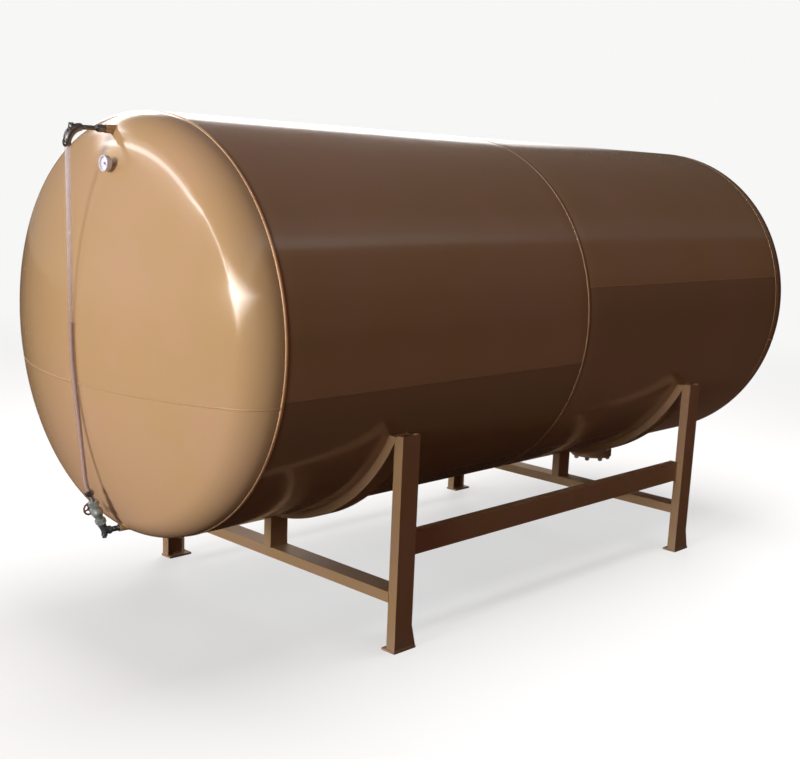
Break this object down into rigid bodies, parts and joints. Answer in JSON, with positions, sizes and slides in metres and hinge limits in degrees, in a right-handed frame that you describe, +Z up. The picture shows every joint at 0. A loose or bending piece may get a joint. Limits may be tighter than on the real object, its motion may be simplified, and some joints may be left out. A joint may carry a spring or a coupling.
{
  "type": "horizontal pressure tank",
  "caption": "Horizontal cylindrical pressure tank with dished ends on a welded channel stand, with a sight tube level gauge, a dial gauge and a bottom outlet.",
  "frame": {"origin": "on the floor at the centre of the four anchor holes", "axes": "+X along the tank's axis away from the level gauge end, +Y to the far side, +Z up"},
  "size_m": [5.1463, 1.9998, 2.5298],
  "materials": {
    "shell_paint": "gloss",
    "frame_paint": "gloss",
    "gasket_rubber": "matte",
    "dark_steel": "satin",
    "valve_steel": "satin",
    "clear_tube": "gloss",
    "wheel_red": "satin",
    "dial_metal": "satin",
    "dial_white": "matte",
    "dial_glass": "gloss"
  },
  "bodies": {
    "root": {"shell_front_course": "shell_paint", "shell_rear_course": "shell_paint", "front_end_upper": "shell_paint", "front_end_lower": "shell_paint", "rear_end_upper": "shell_paint", "rear_end_lower": "shell_paint", "front_cradle": "frame_paint", "rear_cradle": "frame_paint", "front_cross_beam": "frame_paint", "rear_cross_beam": "frame_paint", "front_centre_post": "frame_paint", "rear_centre_post": "frame_paint", "front_near_leg": "frame_paint", "front_far_leg": "frame_paint", "rear_near_leg": "frame_paint", "rear_far_leg": "frame_paint", "front_near_base_plate": "frame_paint", "front_far_base_plate": "frame_paint", "rear_near_base_plate": "frame_paint", "rear_far_base_plate": "frame_paint", "near_side_beam": "frame_paint", "far_side_beam": "frame_paint", "outlet_neck": "frame_paint", "outlet_flange": "frame_paint", "outlet_blind_flange": "frame_paint", "gauge_top_coupling": "frame_paint", "gauge_bottom_coupling": "frame_paint", "outlet_gasket": "gasket_rubber", "outlet_drain_plug": "dark_steel", "gauge_top_union": "dark_steel", "gauge_top_nipple": "dark_steel", "gauge_top_elbow": "dark_steel", "gauge_bottom_gland": "dark_steel", "gauge_bottom_tail": "valve_steel", "gauge_bottom_valve": "valve_steel", "gauge_bottom_stem": "valve_steel", "gauge_bottom_elbow": "valve_steel", "gauge_drain_plug": "valve_steel", "gauge_bottom_nipple": "valve_steel", "sight_tube": "clear_tube", "gauge_bottom_wheel": "wheel_red", "dial_stem": "dial_metal", "dial_case": "dial_metal", "dial_face": "dial_white", "dial_glass": "dial_glass"}
  },
  "joints": []
}
